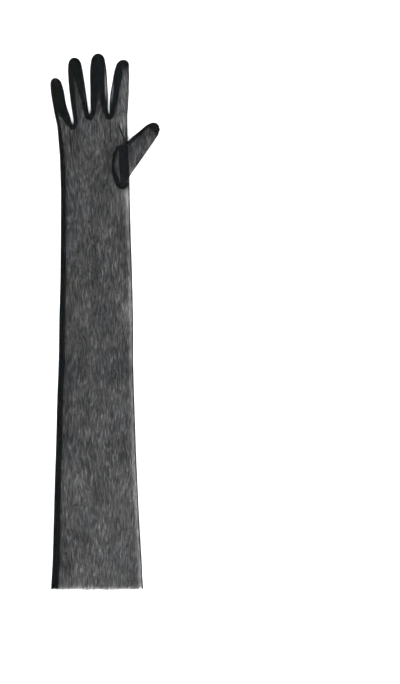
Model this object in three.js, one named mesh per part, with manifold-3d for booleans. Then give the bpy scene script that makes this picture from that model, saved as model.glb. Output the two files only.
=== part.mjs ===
// A long sheer glove of fine stretch mesh, lying flat with its palm up and its fingers towards +Y.
// Sizes are in millimetres. Plan sizes are measured from the cut cuff edge (y = 0)
// and from the hand's axis (x = 0). The finished group is moved so that its origin
// is the middle of its footprint, on the surface that it lies on.
import * as THREE from "three";
import Module from "manifold-3d";
import { mergeVertices } from "three/addons/utils/BufferGeometryUtils.js";

// Driving dimensions
const WALL = 1.1; // cloth wall of the mesh pieces
const SEAM = 1.0; // thickness of a turned seam
const GAP = 0.3; // clearance between sewn pieces
const COLUMNS = 6; // facets across one finger
const SHOULDER = 6.6; // height of the palm side's outer edge
const FINGER_CROWN = 8.0; // height of a finger's middle
const TIP_STEPS = [0.4, 0.72, 0.92]; // how far along a rounded tip each of its rings stands
const FULLNESS = 2.4; // how full the top of a flattened tube is: 2 is round, more is flatter
const CROWDING = 0.45; // how much closer the facets stand towards an edge, from 0 to 1
const CUFF_WAVE = { height: 0.35, turn: 1.9 }; // unevenness of the cut cuff edge

// The arm and palm outline: one row for each cross-section, from the cuff to the knuckles.
const ARM_ROWS = [
  { y: 0, left: -52.3, right: 57.2, crown: 11.4 },
  { y: 12, left: -51.6, right: 56.5, crown: 10.9 },
  { y: 34, left: -50.4, right: 55.6, crown: 10.0 },
  { y: 82, left: -49.0, right: 52.8, crown: 9.4 },
  { y: 130, left: -47.8, right: 50.5, crown: 9.0 },
  { y: 178, left: -46.2, right: 48.6, crown: 9.1 },
  { y: 226, left: -45.0, right: 46.9, crown: 8.7 },
  { y: 274, left: -43.2, right: 45.6, crown: 9.0 },
  { y: 322, left: -42.5, right: 45.6, crown: 8.6 },
  { y: 370, left: -41.2, right: 44.6, crown: 8.9 },
  { y: 418, left: -40.9, right: 43.1, crown: 8.6 },
  { y: 450, left: -40.9, right: 42.2, crown: 8.5 },
  { y: 478, left: -41.2, right: 41.8, crown: 8.4 },
  { y: 500, left: -41.8, right: 41.2, crown: 8.3 },
  { y: 520, left: -42.5, right: 39.8, crown: 8.3 },
];
const PALM_START = 478; // the row where the arm's front ends and the palm begins

// Rows between the last arm row and the line through the finger roots, as a share of that way.
const PALM_STEPS = [0.3, 0.58, 0.82];
const PALM_CROWN = 8.2;

// The line through the finger roots, left to right: the outer sides and the three crotches between.
const ROOTS = [
  { x: -45.4, y: 553.9 },
  { x: -26.8, y: 557.0 },
  { x: -6.6, y: 569.4 },
  { x: 16.4, y: 569.8 },
  { x: 39.0, y: 567.0 },
];

// Fingers, left to right: one row for each cross-section above the root line.
// The last row is where the tip starts to round off.
const FINGERS = [
  {
    name: "little",
    tip: { x: -47.8, y: 613.2 },
    rows: [
      { y: 563.0, left: -47.3, right: -28.6 },
      { y: 569.5, left: -48.7, right: -30.4 },
      { y: 579.1, left: -50.6, right: -33.7 },
      { y: 589.5, left: -52.4, right: -35.9 },
      { y: 598.3, left: -53.6, right: -37.2 },
      { y: 604.0, left: -53.8, right: -39.2 },
    ],
  },
  {
    name: "ring",
    tip: { x: -24.8, y: 637.7 },
    rows: [
      { y: 572.5, left: -27.8, right: -7.2 },
      { y: 579.1, left: -28.8, right: -8.4 },
      { y: 593.5, left: -30.7, right: -10.4 },
      { y: 607.9, left: -31.9, right: -12.6 },
      { y: 620.0, left: -32.7, right: -14.3 },
      { y: 627.0, left: -32.6, right: -15.7 },
    ],
  },
  {
    name: "middle",
    tip: { x: 3.7, y: 642.6 },
    rows: [
      { y: 576.0, left: -6.2, right: 15.7 },
      { y: 586.3, left: -5.9, right: 15.6 },
      { y: 600.7, left: -6.1, right: 15.5 },
      { y: 614.0, left: -6.1, right: 14.5 },
      { y: 625.0, left: -5.9, right: 13.3 },
      { y: 632.0, left: -5.0, right: 12.1 },
    ],
  },
  {
    name: "index",
    tip: { x: 34.2, y: 635.0 },
    rows: [
      { y: 576.0, left: 17.2, right: 39.6 },
      { y: 586.3, left: 17.7, right: 40.3 },
      { y: 600.7, left: 19.3, right: 40.8 },
      { y: 612.0, left: 21.2, right: 41.1 },
      { y: 620.5, left: 23.0, right: 41.1 },
      { y: 627.0, left: 24.9, right: 40.9 },
    ],
  },
];

// Fourchettes: how deep each folded strip reaches into the finger, at the crotch and towards the tips.
const FOURCHETTES = [
  { name: "fourchette_little_ring", between: [0, 1], crotch: 4.0, left: 4.4, right: 5.8, end: 3.6 },
  { name: "fourchette_ring_middle", between: [1, 2], crotch: 4.4, left: 5.8, right: 6.2, end: 3.6 },
  { name: "fourchette_middle_index", between: [2, 3], crotch: 4.4, left: 6.0, right: 7.2, end: 4.0 },
];
const CROTCH_TURNS = 6; // facets round each crotch
const CROTCH_ROWS = 2; // finger rows that keep the crotch's depth
const STRIP_WALL = 1.2; // upright thickness of a folded strip
const STRIP_FOLD = 2.6; // how far inside its outer fold the inner fold is
const STRIP_STOP = 0.8; // how far below the tip's rounding a strip ends

// The oval seam that joins the thumb to the palm, from the thumb's upper edge round to its lower edge.
const OVAL = [
  { x: 36.2, y: 534.0 },
  { x: 33.0, y: 533.2 },
  { x: 28.8, y: 531.1 },
  { x: 23.6, y: 525.1 },
  { x: 20.9, y: 516.0 },
  { x: 20.2, y: 505.6 },
  { x: 21.8, y: 494.6 },
  { x: 25.4, y: 486.2 },
  { x: 31.6, y: 480.2 },
  { x: 35.8, y: 481.6 },
];
const WELT = { width: 2.0, above: 0.6 };

// The thumb lies across the hand's edge: one row for each section, from inside the oval seam to the tip.
// floor is its underside, crown its top.
const THUMB_ROOT = { x: 22.7, y: 507, z: 10.4 };
const THUMB_TIP = { x: 78.0, y: 551.2, z: 3.2 };
const THUMB_ROWS = [
  { x: 23.8, low: 498.6, high: 516.6, floor: 8.7, crown: 12.6 },
  { x: 27.0, low: 489.4, high: 525.4, floor: 8.5, crown: 15.4 },
  { x: 32.0, low: 484.0, high: 530.2, floor: 8.1, crown: 15.8 },
  { x: 37.0, low: 485.2, high: 531.0, floor: 7.7, crown: 15.2 },
  { x: 41.6, low: 493.9, high: 538.6, floor: 7.1, crown: 14.2 },
  { x: 45.6, low: 500.7, high: 543.0, floor: 3.0, crown: 11.2 },
  { x: 49.2, low: 505.9, high: 545.9, floor: 0, crown: 9.6 },
  { x: 50.4, low: 507.5, high: 546.8, floor: 0, crown: 9.2 },
  { x: 55.6, low: 514.9, high: 551.2, floor: 0, crown: 8.4 },
  { x: 61.4, low: 523.2, high: 556.1, floor: 0, crown: 8.0 },
  { x: 67.4, low: 532.0, high: 559.2, floor: 0, crown: 7.8 },
  { x: 72.8, low: 539.8, high: 559.4, floor: 0, crown: 7.6 },
  { x: 76.2, low: 545.4, high: 556.8, floor: 0.6, crown: 6.6 },
];
const THUMB_SPLIT = 7; // the row where the thumb's base ends
const THUMB_GAP = 0.5; // clearance between the base and the rest of the thumb
const THUMB_INSET = { floor: 1.5, top: 1.05 }; // how far the thumb's edges are rounded below and above
const THUMB_SIDE = 0.42; // how high up a thumb section its side folds are
const THUMB_SHOULDER = 0.72; // and the edges of its top
const THUMB_SEAM = { inset: 2.0, width: 2.2, firstRow: 4 }; // the seam inside its upper edge
const THUMB_HOLE = { x: 29.4, y: 507, width: 7.4, length: 34, from: 3.4, to: 11.4, facets: 12 };

// The turned side seam on the little-finger side: how far its allowance reaches in at each height.
const SIDE_SEAM = [
  { y: 0.6, width: 9.6 },
  { y: 120, width: 7.8 },
  { y: 250, width: 7.0 },
  { y: 400, width: 6.0 },
  { y: 520, width: 4.8 },
  { y: 552, width: 4.2 },
  { y: 600, width: 3.6 },
];
const SEAM_SPLIT = 520; // the height where the arm's side seam ends and the little finger's begins
const TIP_SEAM = { width: 3.4, turns: [-0.78, -0.52, -0.26, 0, 0.26, 0.52, 0.78] };
const EDGE_INSET = 0.2; // how far the edge walls stand in from the outline

const MESH_COLOUR = 0x1b1e20;
const SEAM_COLOUR = 0x0d0f10;

const mix = (a, b, t) => a + (b - a) * t;
const smooth = (t) => t * t * (3 - 2 * t);

// The value of a column of a table at a height, by straight lines between its rows.
function lookUp(rows, key, at, column) {
  const i = rows.findIndex((row) => row[key] >= at);
  if (i === 0) return rows[0][column];
  if (i < 0) return rows[rows.length - 1][column];
  const a = rows[i - 1];
  const b = rows[i];
  return mix(a[column], b[column], (at - a[key]) / (b[key] - a[key]));
}

// A sheet is a list of points and faces with open edges, seen from outside. shell() gives it a wall.
class Sheet {
  points = [];
  faces = [];
  numbers = new Map();

  add(x, y, z) {
    this.points.push(new THREE.Vector3(x, y, z));
    return this.points.length - 1;
  }

  // The number of a shared place, whose height is multiplied by raise.
  at(place, raise) {
    if (!this.numbers.has(place)) this.numbers.set(place, this.add(place.x, place.y, place.z * raise));
    return this.numbers.get(place);
  }

  quad(a, b, c, d) {
    this.faces.push([a, b, c], [a, c, d]);
  }

  // Joins two closed rings of point numbers.
  band(lower, upper) {
    lower.forEach((a, k) => {
      const n = (k + 1) % lower.length;
      this.quad(a, lower[n], upper[n], upper[k]);
    });
  }

  // Joins two open rows of point numbers.
  rung(lower, upper) {
    for (let k = 0; k + 1 < lower.length; k++) this.quad(lower[k], lower[k + 1], upper[k + 1], upper[k]);
  }

  cap(ring, apex) {
    ring.forEach((a, k) => this.faces.push([a, ring[(k + 1) % ring.length], apex]));
  }

  base(ring, apex) {
    ring.forEach((a, k) => this.faces.push([ring[(k + 1) % ring.length], a, apex]));
  }

  turnOver() {
    this.faces = this.faces.map(([a, b, c]) => [a, c, b]);
    return this;
  }

  // The closed solid between this sheet and a copy moved inwards by the wall.
  shell(wall) {
    const normals = this.points.map(() => new THREE.Vector3());
    const [u, v] = [new THREE.Vector3(), new THREE.Vector3()];
    for (const face of this.faces) {
      const [a, b, c] = face.map((i) => this.points[i]);
      const normal = u.subVectors(b, a).cross(v.subVectors(c, a)).clone();
      face.forEach((i) => normals[i].add(normal));
    }
    const count = this.points.length;
    const inner = this.points.map((p, i) => p.clone().addScaledVector(normals[i].normalize(), -wall));
    const faces = this.faces.flatMap(([a, b, c]) => [
      [a, b, c],
      [a + count, c + count, b + count],
    ]);
    const edges = new Set();
    const eachEdge = (visit) => this.faces.forEach((f) => f.forEach((a, i) => visit(a, f[(i + 1) % 3])));
    eachEdge((a, b) => edges.add(a + ">" + b));
    eachEdge((a, b) => {
      if (!edges.has(b + ">" + a)) faces.push([b, a, a + count], [b, a + count, b + count]);
    });
    return geometryOf([...this.points, ...inner], faces);
  }
}

function geometryOf(points, faces) {
  const geometry = new THREE.BufferGeometry().setFromPoints(points);
  geometry.setIndex(faces.flat());
  return geometry;
}

// One named piece of the glove.
function piece(name, geometry, colour) {
  const material = new THREE.MeshStandardMaterial({ color: colour, roughness: 0.85, metalness: 0 });
  const mesh = new THREE.Mesh(geometry, material);
  mesh.name = name;
  return mesh;
}

// A solid strip: the same small outline carried along a path. Each stop has a place in plan (x, y),
// the direction in plan (dx, dy) that the strip reaches in, and an outline of [reach, z] corners.
function strip(stops) {
  const size = stops[0].outline.length;
  const points = stops.flatMap(({ x, y, dx, dy, outline }) =>
    outline.map(([reach, z]) => new THREE.Vector3(x + dx * reach, y + dy * reach, z)),
  );
  const faces = [];
  for (let i = 0; i + 1 < stops.length; i++)
    for (let k = 0; k < size; k++) {
      const n = (k + 1) % size;
      const [a, b, c, d] = [i * size + k, i * size + n, (i + 1) * size + n, (i + 1) * size + k];
      faces.push([a, b, c], [a, c, d]);
    }
  for (const at of [0, stops.length - 1]) {
    const shape = stops[at].outline.map(([reach, z]) => new THREE.Vector2(reach, z));
    const turned = THREE.ShapeUtils.isClockWise(shape) !== (at === 0);
    for (const [a, b, c] of THREE.ShapeUtils.triangulateShape(shape, []))
      faces.push((turned ? [a, c, b] : [a, b, c]).map((i) => at * size + i));
  }
  return outwards(points, faces);
}

// The geometry with its faces turned round if it was made inside out.
function outwards(points, faces) {
  const volume = faces.reduce((sum, [a, b, c]) => {
    const normal = points[b].clone().cross(points[c]);
    return sum + points[a].dot(normal);
  }, 0);
  return geometryOf(points, volume < 0 ? faces.map(([a, b, c]) => [a, c, b]) : faces);
}

// Unit directions in plan that point to the left of the path, or to its right, at each of its places.
function inwardOf(path, side) {
  return path.map((p, i) => {
    const before = path[Math.max(i - 1, 0)];
    const after = path[Math.min(i + 1, path.length - 1)];
    const way = new THREE.Vector2(after.x - before.x, after.y - before.y).normalize();
    return { dx: -way.y * side, dy: way.x * side };
  });
}

// How full the top of a flattened tube is, from its edge (across = -1 or 1) to its middle (0).
const dome = (across) => 1 - Math.abs(across) ** FULLNESS;

// Shares across a section, closer together near its edges.
function shares(columns) {
  return Array.from({ length: columns + 1 }, (_, j) => {
    const even = j / columns;
    const round = (1 - Math.cos(Math.PI * even)) / 2;
    return mix(even, round, CROWDING);
  });
}

// Height of the arm's top surface at a share across it.
const armTop = (crown, share) => mix(SHOULDER, crown, dome(share * 2 - 1));

// Height of the arm's top surface at a place in plan.
function armTopAt(x, y) {
  const [left, right, crown] = ["left", "right", "crown"].map((column) => lookUp(ARM_ROWS, "y", y, column));
  return armTop(crown, (x - left) / (right - left));
}

// The rows of places across the arm and palm, and those of each finger with the place of its tip.
function handPlaces() {
  const across = FINGERS.length * COLUMNS;
  const fingerShares = shares(COLUMNS);
  const rootPoint = (j) => {
    const finger = Math.min(Math.floor(j / COLUMNS), FINGERS.length - 1);
    const share = fingerShares[j - finger * COLUMNS];
    const [a, b] = [ROOTS[finger], ROOTS[finger + 1]];
    return { x: mix(a.x, b.x, share), y: mix(a.y, b.y, share), share };
  };
  const width = ROOTS[ROOTS.length - 1].x - ROOTS[0].x;
  const columns = Array.from({ length: across + 1 }, (_, j) => {
    const root = rootPoint(j);
    return { j, root, share: (root.x - ROOTS[0].x) / width };
  });
  const fingerTop = (high, share) => mix(SHOULDER, high, dome(share * 2 - 1));

  const hand = ARM_ROWS.map((row, i) =>
    columns.map(({ j, share }) => {
      const wave = i ? 0 : CUFF_WAVE.height * Math.sin(j * CUFF_WAVE.turn);
      return new THREE.Vector3(mix(row.left, row.right, share), row.y + wave, armTop(row.crown, share));
    }),
  );
  const last = ARM_ROWS[ARM_ROWS.length - 1];
  for (const step of [...PALM_STEPS, 1])
    hand.push(
      columns.map(({ root, share }) => {
        const x = mix(mix(last.left, last.right, share), root.x, step);
        const palm = armTop(mix(last.crown, PALM_CROWN, step), share);
        const z = mix(palm, fingerTop(FINGER_CROWN, root.share), smooth(step));
        return new THREE.Vector3(x, mix(last.y, root.y, step), z);
      }),
    );

  const knuckles = hand[hand.length - 1];
  const fingers = FINGERS.map(({ rows, tip }, f) => {
    const rowAt = (y, left, right, high) =>
      fingerShares.map((share) => new THREE.Vector3(mix(left, right, share), y, fingerTop(high, share)));
    const start = rows[rows.length - 1];
    const rounded = TIP_STEPS.map((t) => {
      const wide = Math.sqrt(1 - t * t);
      const middle = mix((start.left + start.right) / 2, tip.x, t);
      const half = ((start.right - start.left) / 2) * wide;
      return rowAt(mix(start.y, tip.y, t), middle - half, middle + half, mix(SHOULDER, FINGER_CROWN, wide));
    });
    const root = knuckles.slice(f * COLUMNS, (f + 1) * COLUMNS + 1);
    const straight = rows.map(({ y, left, right }) => rowAt(y, left, right, FINGER_CROWN));
    return { rows: [root, ...straight, ...rounded], tip: new THREE.Vector3(tip.x, tip.y, SHOULDER) };
  });
  return { hand, fingers };
}

// One ply from blocks of rows. raise is 1 for the domed palm side and 0 for the flat back.
function ply(blocks, raise) {
  const sheet = new Sheet();
  for (const { rows, tip } of blocks) {
    const numbers = rows.map((row) => row.map((place) => sheet.at(place, raise)));
    numbers.forEach((row, i) => i && sheet.rung(numbers[i - 1], row));
    if (!tip) continue;
    const top = numbers[numbers.length - 1];
    const apex = sheet.at(tip, raise);
    for (let k = 0; k + 1 < top.length; k++) sheet.faces.push([top[k], top[k + 1], apex]);
  }
  return (raise ? sheet : sheet.turnOver()).shell(WALL);
}

// A copy of a row moved towards the fingertips by the clearance between pieces.
const nextTo = (row) => row.map((place) => new THREE.Vector3(place.x, place.y + GAP, place.z));

// Height of the thumb's side folds.
const sideHeight = (floor, crown) => mix(floor, crown, THUMB_SIDE);
const thumbSide = (x) => sideHeight(lookUp(THUMB_ROWS, "x", x, "floor"), lookUp(THUMB_ROWS, "x", x, "crown"));

// One section of the thumb's flattened tube, moved a little along the thumb. Returns its ring of points.
function thumbRing(sheet, { x, low, high, floor, crown }, moved) {
  const across = shares(COLUMNS);
  const side = sideHeight(floor, crown);
  const shoulder = mix(floor, crown, THUMB_SHOULDER);
  const at = (share, pull) => mix(high - pull, low + pull, share);
  const add = (y, z) => sheet.add(x + moved, y, z);
  const topHeight = (share) => mix(shoulder, crown, dome(share * 2 - 1));
  const top = across.map((share) => add(at(share, THUMB_INSET.top), topHeight(share)));
  const bottom = across.map((share) => add(at(share, THUMB_INSET.floor), floor));
  return [...top, add(low, side), ...bottom.reverse(), add(high, side)];
}

// The thumb's base: it stands over the thumb hole and is open towards the tip.
function thumbBase() {
  const sheet = new Sheet();
  const rings = THUMB_ROWS.slice(0, THUMB_SPLIT + 1).map((row) => thumbRing(sheet, row, 0));
  rings.forEach((ring, i) => i && sheet.band(rings[i - 1], ring));
  sheet.base(rings[0], sheet.add(THUMB_ROOT.x, THUMB_ROOT.y, THUMB_ROOT.z));
  return sheet.shell(WALL);
}

// The rest of the thumb: a tube with a rounded tip, open towards the base.
function thumbTube() {
  const sheet = new Sheet();
  const rings = THUMB_ROWS.slice(THUMB_SPLIT).map((row, i) => thumbRing(sheet, row, i ? 0 : THUMB_GAP));
  rings.forEach((ring, i) => i && sheet.band(rings[i - 1], ring));
  sheet.cap(rings[rings.length - 1], sheet.add(THUMB_TIP.x, THUMB_TIP.y, THUMB_TIP.z));
  return sheet.shell(WALL);
}

// The upright oval plug that opens the thumb hole.
function thumbHolePlug() {
  const { x, y, width, length, from, to, facets } = THUMB_HOLE;
  const oval = new THREE.Shape().absellipse(0, 0, width / 2, length / 2, 0, Math.PI * 2);
  const upright = { depth: to - from, bevelEnabled: false, curveSegments: facets };
  return new THREE.ExtrudeGeometry(oval, upright).translate(x, y, from);
}

const wasm = await Module();
wasm.setup();

function solidOf(geometry) {
  const bare = geometry.clone();
  bare.deleteAttribute("normal");
  bare.deleteAttribute("uv");
  const merged = mergeVertices(bare);
  const vertProperties = merged.attributes.position.array;
  const triVerts = new Uint32Array(merged.index.array);
  return new wasm.Manifold(new wasm.Mesh({ numProp: 3, vertProperties, triVerts }));
}

function geometryFrom(solid) {
  const mesh = solid.getMesh();
  const geometry = new THREE.BufferGeometry();
  geometry.setAttribute("position", new THREE.BufferAttribute(new Float32Array(mesh.vertProperties), 3));
  geometry.setIndex([...mesh.triVerts]);
  return geometry;
}

// A geometry with the thumb hole cut through it.
const withThumbHole = (geometry) => geometryFrom(solidOf(geometry).subtract(solidOf(thumbHolePlug())));

// Heights between the two plies where seams and folded strips fit.
const BETWEEN = { low: WALL + GAP, high: SHOULDER - WALL - GAP };
BETWEEN.middle = (BETWEEN.low + BETWEEN.high) / 2;

// A folded strip between two fingers: down the side of one, round the crotch and up the side of the next.
function fourchette({ between: [a, b], crotch, left, right, end }) {
  const stops = (finger, column, middle, side) => {
    const { rows } = FINGERS[finger];
    const root = ROOTS[Math.max(a, b)];
    const path = [root, ...rows.map((row) => ({ x: row[column], y: row.y }))];
    const top = path.length - 1;
    return inwardOf(path, side).map((way, i) => ({
      x: path[i].x,
      y: path[i].y - (i === top ? STRIP_STOP : 0),
      reach: i === top ? end : i < CROTCH_ROWS ? crotch : middle,
      ...way,
    }));
  };
  const down = stops(a, "right", left, 1).reverse();
  const up = stops(b, "left", right, -1);
  const [from, to] = [down[down.length - 1], up[0]].map(({ dx, dy }) => Math.atan2(dy, dx));
  const start = from > 0 ? from - 2 * Math.PI : from;
  const turn = Array.from({ length: CROTCH_TURNS + 1 }, (_, i) => {
    const angle = mix(start, to, i / CROTCH_TURNS);
    return { ...up[0], dx: Math.cos(angle), dy: Math.sin(angle) };
  });
  const { low, middle, high } = BETWEEN;
  return strip(
    [...down.slice(0, -1), ...turn, ...up.slice(1)].map((stop) => ({
      ...stop,
      outline: [
        [GAP, high],
        [stop.reach, middle],
        [GAP, low],
        [GAP, low + STRIP_WALL],
        [stop.reach - STRIP_FOLD, middle],
        [GAP, high - STRIP_WALL],
      ],
    })),
  );
}

// The outline of an edge wall between the two plies, with an allowance that reaches in to a width.
function seamOutline(width) {
  const { low, middle, high } = BETWEEN;
  const [outer, inner] = [EDGE_INSET, EDGE_INSET + SEAM];
  const wall = [[outer, low], [inner, low], [inner, high], [outer, high]];
  if (width <= inner) return wall;
  const [under, over] = [middle - SEAM / 2, middle + SEAM / 2];
  const allowance = [[inner, under], [width, under], [width, over], [inner, over]];
  return [...wall.slice(0, 2), ...allowance, ...wall.slice(2)];
}

// A wall along one of the hand's outer edges, with its allowance.
function edgeWall(path, dx, widthAt) {
  return strip(path.map(({ x, y }) => ({ x, y, dx, dy: 0, outline: seamOutline(widthAt(y)) })));
}

const armEdge = (column) => ARM_ROWS.map((row, i) => ({ x: row[column], y: i ? row.y : SIDE_SEAM[0].y }));

function fingerEdge(finger, column, root) {
  const rows = FINGERS[finger].rows.map((row) => ({ x: row[column], y: row.y }));
  rows[rows.length - 1].y -= GAP;
  return [{ x: ROOTS[root].x, y: ROOTS[root].y }, ...rows];
}

const seamWidth = (y) => lookUp(SIDE_SEAM, "y", y, "width");

// The arm's part of the turned side seam.
const sideSeam = () => edgeWall(armEdge("left"), 1, seamWidth);

// The little finger's part of it.
function littleFingerSeam() {
  const start = { x: ARM_ROWS[ARM_ROWS.length - 1].left, y: SEAM_SPLIT + GAP };
  return edgeWall([start, ...fingerEdge(0, "left", 0)], 1, seamWidth);
}

// The fold on the thumb's side, from the cuff to the tip of the index finger.
const thumbSideFold = () => edgeWall([...armEdge("right"), ...fingerEdge(3, "right", 4)], -1, () => 0);

// The wall and turned seam round a fingertip.
function tipSeam({ rows, tip }) {
  const start = rows[rows.length - 1];
  const middle = (start.left + start.right) / 2;
  const half = (start.right - start.left) / 2 - EDGE_INSET;
  const path = TIP_SEAM.turns.map((turn) => {
    const angle = (turn * Math.PI) / 2;
    const along = Math.cos(angle);
    return {
      x: mix(middle, tip.x, along) + half * Math.sin(angle),
      y: start.y + (tip.y - start.y - EDGE_INSET) * along,
    };
  });
  const inward = inwardOf(path, -1);
  return strip(path.map((p, i) => ({ ...p, ...inward[i], outline: seamOutline(TIP_SEAM.width) })));
}

// The turned seam inside the thumb's upper edge and round its tip.
function thumbEdgeSeam() {
  const [from, to] = [THUMB_SEAM.inset, THUMB_SEAM.inset + THUMB_SEAM.width];
  const path = THUMB_ROWS.slice(THUMB_SEAM.firstRow).map(({ x, high }) => ({ x, y: high }));
  path.push({ x: THUMB_TIP.x - SEAM, y: THUMB_TIP.y });
  const inward = inwardOf(path, -1);
  return strip(
    path.map(({ x, y }, i) => {
      const { dx, dy } = inward[i];
      const [near, far] = [from, to].map((reach) => thumbSide(x + dx * reach) - SEAM / 2);
      return { x, y, dx, dy, outline: [[from, near], [to, far], [to, far + SEAM], [from, near + SEAM]] };
    }),
  );
}

// The turned edge of the oval seam, lying on the palm round the thumb's root.
function thumbWelt() {
  const inward = inwardOf(OVAL, 1);
  return strip(
    OVAL.map((p, i) => {
      const { dx, dy } = inward[i];
      const { width, above } = WELT;
      const height = (reach) => armTopAt(p.x + dx * reach, p.y + dy * reach) + above;
      const [near, far] = [height(0), height(width)];
      return { ...p, dx, dy, outline: [[0, near], [width, far], [width, far + SEAM], [0, near + SEAM]] };
    }),
  );
}

const glove = new THREE.Group();
const { hand, fingers } = handPlaces();
const palmRow = ARM_ROWS.findIndex((row) => row.y === PALM_START);
const fingerFeet = fingers.map(({ rows }) => ({ rows: rows.slice(0, 2) }));
const palmBlocks = [{ rows: [nextTo(hand[palmRow]), ...hand.slice(palmRow + 1)] }, ...fingerFeet];
glove.add(piece("back_side", ply([{ rows: hand }, ...fingers], 0), MESH_COLOUR));
glove.add(piece("arm_front", ply([{ rows: hand.slice(0, palmRow + 1) }], 1), MESH_COLOUR));
glove.add(piece("palm_front", withThumbHole(ply(palmBlocks, 1)), MESH_COLOUR));
fingers.forEach(({ rows, tip }, f) => {
  const front = ply([{ rows: [nextTo(rows[1]), ...rows.slice(2)], tip }], 1);
  glove.add(piece(FINGERS[f].name + "_front", front, MESH_COLOUR));
});
glove.add(piece("thumb_side_fold", thumbSideFold(), MESH_COLOUR));
glove.add(piece("thumb_base", withThumbHole(thumbBase()), MESH_COLOUR));
glove.add(piece("thumb", thumbTube(), MESH_COLOUR));
glove.add(piece("side_seam", sideSeam(), SEAM_COLOUR));
glove.add(piece("little_finger_seam", littleFingerSeam(), SEAM_COLOUR));
glove.add(piece("thumb_edge_seam", thumbEdgeSeam(), SEAM_COLOUR));
glove.add(piece("thumb_welt", thumbWelt(), SEAM_COLOUR));
for (const row of FOURCHETTES) glove.add(piece(row.name, fourchette(row), SEAM_COLOUR));
for (const finger of FINGERS) glove.add(piece(finger.name + "_tip_seam", tipSeam(finger), SEAM_COLOUR));

const extent = new THREE.Box3().setFromObject(glove);
const centre = extent.getCenter(new THREE.Vector3());
glove.position.set(-centre.x, -centre.y, -extent.min.z);

export default glove;
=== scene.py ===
import math

import bpy
import numpy as np
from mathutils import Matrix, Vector, noise


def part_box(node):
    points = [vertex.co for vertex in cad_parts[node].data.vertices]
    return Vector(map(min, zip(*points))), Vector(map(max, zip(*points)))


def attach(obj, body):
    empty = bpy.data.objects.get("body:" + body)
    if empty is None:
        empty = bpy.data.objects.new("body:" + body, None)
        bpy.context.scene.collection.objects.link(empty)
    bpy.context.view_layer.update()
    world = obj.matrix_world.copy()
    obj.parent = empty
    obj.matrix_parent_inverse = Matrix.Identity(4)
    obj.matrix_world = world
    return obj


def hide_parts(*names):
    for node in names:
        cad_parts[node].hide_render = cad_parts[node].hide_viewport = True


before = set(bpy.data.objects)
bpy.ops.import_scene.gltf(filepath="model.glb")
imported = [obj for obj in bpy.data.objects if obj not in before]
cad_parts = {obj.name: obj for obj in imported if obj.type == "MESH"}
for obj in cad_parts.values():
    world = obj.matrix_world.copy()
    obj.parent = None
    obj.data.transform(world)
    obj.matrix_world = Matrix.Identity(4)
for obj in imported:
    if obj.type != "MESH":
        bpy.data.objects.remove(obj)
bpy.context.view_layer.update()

PLY = 0.32  # thickness of one ply of net
LIFT = 0.2  # how far the lowest ply lies over the floor
PHOTO = {"width": 400, "height": 684, "mm_per_pixel": 1.2, "axis_px": 95, "cuff_px": 588.6}

FINGER = {"crown": 7.4, "shoulder": 6.0, "gap": 4.4, "side": 3.1}
ARM = {"shoulder": 6.2, "inset": 1.5}
PALM_CROWN = 8.0

# y, left, right, crown
ARM_ROWS = [
    (0, -53.0, 58.0, 11.2),
    (12, -52.3, 57.2, 10.7),
    (34, -51.1, 56.2, 9.8),
    (82, -49.7, 53.3, 9.2),
    (130, -48.4, 51.0, 8.8),
    (178, -46.8, 49.0, 8.9),
    (226, -45.6, 47.3, 8.5),
    (274, -43.8, 46.0, 8.8),
    (322, -43.1, 45.9, 8.4),
    (370, -41.8, 44.9, 8.7),
    (418, -41.4, 43.3, 8.4),
    (450, -41.2, 42.4, 8.3),
    (478, -41.2, 41.8, 8.2),
    (500, -41.8, 41.2, 8.1),
    (520, -42.5, 39.8, 8.1),
]
ROOTS = [(-45.4, 553.9), (-26.9, 557.2), (-6.7, 569.6), (16.7, 569.6), (39.0, 567.0)]

# Fingers: y at the left edge, y at the right edge, left, right above the line of roots, and the tip
FINGERS = {
    "little": {
        "tip": (-47.8, 613.2),
        "rows": [
            (558.8, 559.6, -46.3, -28.1),
            (561.5, 562.5, -46.9, -29.1),
            (567.7, 567.7, -48.4, -30.3),
            (571.3, 571.3, -49.1, -31.6),
            (578.5, 578.5, -50.4, -34.1),
            (585.7, 585.7, -51.7, -35.7),
            (592.9, 592.9, -52.8, -36.8),
            (598.3, 598.3, -53.5, -37.8),
            (604.0, 604.0, -53.8, -39.4),
        ],
    },
    "ring": {
        "tip": (-24.8, 637.7),
        "rows": [
            (559.6, 571.9, -25.9, -7.6),
            (563.5, 574.9, -26.2, -8.2),
            (570.0, 578.5, -27.2, -8.7),
            (580.0, 585.7, -28.8, -9.6),
            (589.5, 592.9, -30.0, -10.6),
            (600.1, 600.1, -31.2, -11.6),
            (607.3, 607.3, -31.8, -12.7),
            (614.5, 614.5, -32.2, -13.8),
            (621.7, 621.7, -32.7, -15.0),
            (627.0, 627.0, -32.4, -16.0),
        ],
    },
    "middle": {
        "tip": (3.7, 642.6),
        "rows": [
            (571.9, 571.9, -5.7, 16.0),
            (574.9, 574.9, -5.4, 15.5),
            (578.5, 578.5, -5.3, 15.4),
            (585.7, 585.7, -5.6, 15.4),
            (596.5, 596.5, -5.7, 15.2),
            (607.3, 607.3, -6.0, 14.6),
            (614.5, 614.5, -6.1, 14.3),
            (625.0, 625.0, -5.9, 13.3),
            (632.0, 632.0, -5.0, 12.1),
        ],
    },
    "index": {
        "tip": (34.2, 635.0),
        "rows": [
            (571.9, 571.9, 17.5, 39.4),
            (578.5, 578.5, 17.5, 39.8),
            (585.7, 585.7, 17.8, 40.2),
            (596.5, 596.5, 18.8, 40.7),
            (607.3, 607.3, 20.7, 41.0),
            (614.5, 614.5, 21.9, 41.2),
            (620.5, 620.5, 23.0, 41.1),
            (627.0, 627.0, 24.9, 40.9),
        ],
    },
}
NAMES = list(FINGERS)

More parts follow.
